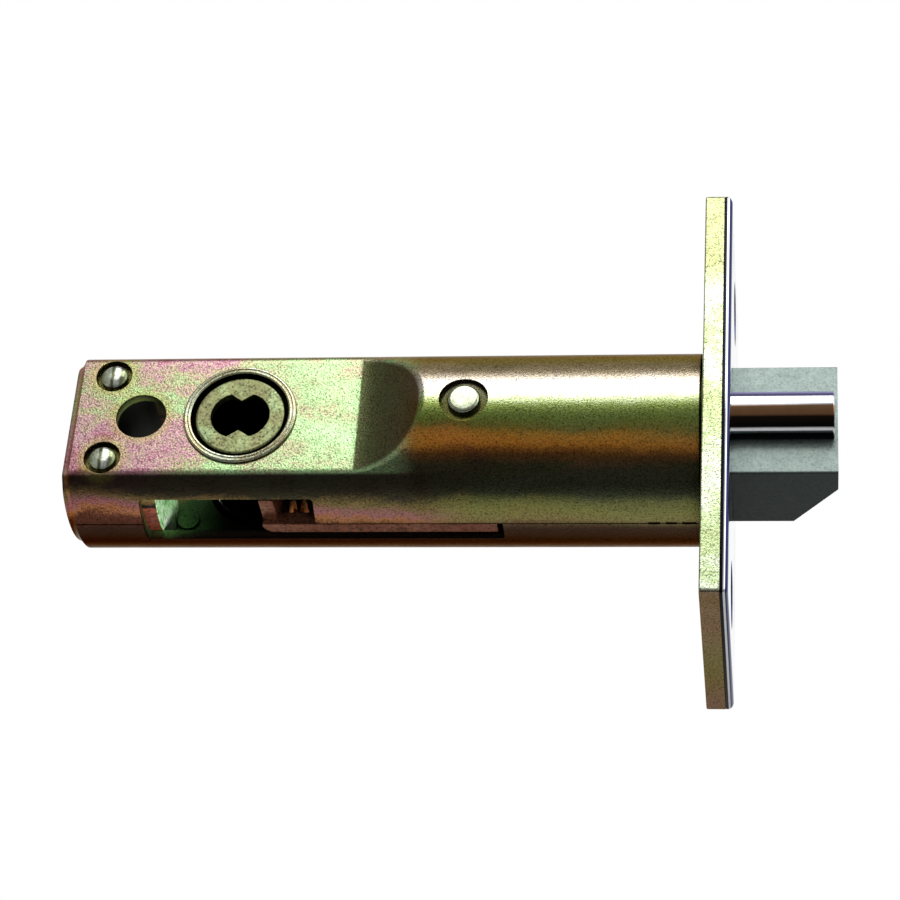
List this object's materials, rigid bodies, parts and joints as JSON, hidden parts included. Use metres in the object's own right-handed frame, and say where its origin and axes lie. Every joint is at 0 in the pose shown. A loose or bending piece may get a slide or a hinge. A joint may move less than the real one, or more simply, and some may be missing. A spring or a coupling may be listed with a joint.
{
  "type": "tubular door latch",
  "caption": "Tubular spring latch: round housing with two flats and a bow-tie spindle hub, bevelled bolt with a guard plunger, rectangular faceplate.",
  "frame": {"origin": "centre of the backing plate's back face, on the housing tube's axis", "axes": "+X the way the bolt is thrown, +Z along the faceplate's length, Y along the spindle's axis with the guard plunger's side at -Y"},
  "size_m": [0.0947, 0.0286, 0.0572],
  "materials": {
    "yellow_zinc": "yellow passivated zinc plating, slightly iridescent",
    "chrome_plate": "polished",
    "zinc_steel": "passivated zinc plating, dull",
    "bright_steel": "bright",
    "sintered_steel": "matt grey",
    "black_plastic": "moulded",
    "copper_wire": "copper-coated spring wire",
    "spring_steel": "drawn spring wire"
  },
  "bodies": {
    "housing": {"housing_tube": "yellow_zinc", "end_cap": "yellow_zinc", "end_block": "zinc_steel", "rear_pin_upper": "bright_steel", "rear_pin_lower": "bright_steel", "flat_stud": "bright_steel", "backing_plate": "yellow_zinc", "face_plate": "chrome_plate", "front_guide": "black_plastic", "hub_collar_near": "zinc_steel", "hub_collar_far": "zinc_steel", "guide_block_near": "zinc_steel", "guide_block_far": "zinc_steel", "guide_rivet_near": "bright_steel", "guide_rivet_far": "bright_steel", "spring_lug": "zinc_steel", "bolt_spring": "spring_steel", "return_spring": "copper_wire"},
    "hub": {"hub": "sintered_steel"},
    "bolt": {"latch_bolt": "sintered_steel", "retractor": "zinc_steel", "bolt_pin": "bright_steel", "plunger_spring": "spring_steel"},
    "plunger": {"guard_plunger": "chrome_plate"}
  },
  "joints": [
    {"name": "bolt_slide", "type": "slide", "parent": "housing", "child": "bolt", "axis": [1, 0, 0], "range_m": [-0.0127, 0], "stiffness_N_per_m": 350, "springref_m": 0.012, "deforming": ["bolt_spring", "return_spring"]},
    {"name": "plunger_slide", "type": "slide", "parent": "bolt", "child": "plunger", "axis": [1, 0, 0], "range_m": [-0.012, 0], "stiffness_N_per_m": 120, "springref_m": 0.012, "deforming": ["plunger_spring"]},
    {"name": "hub_turn", "type": "hinge", "parent": "housing", "child": "hub", "pos_m": [-0.05697, 0, 0], "axis": [0, 1, 0], "range_deg": [0, 95.3]}
  ],
  "couplings": [
    {"joint": "hub_turn", "follows": "bolt_slide", "rad_per_m": -130.81}
  ]
}
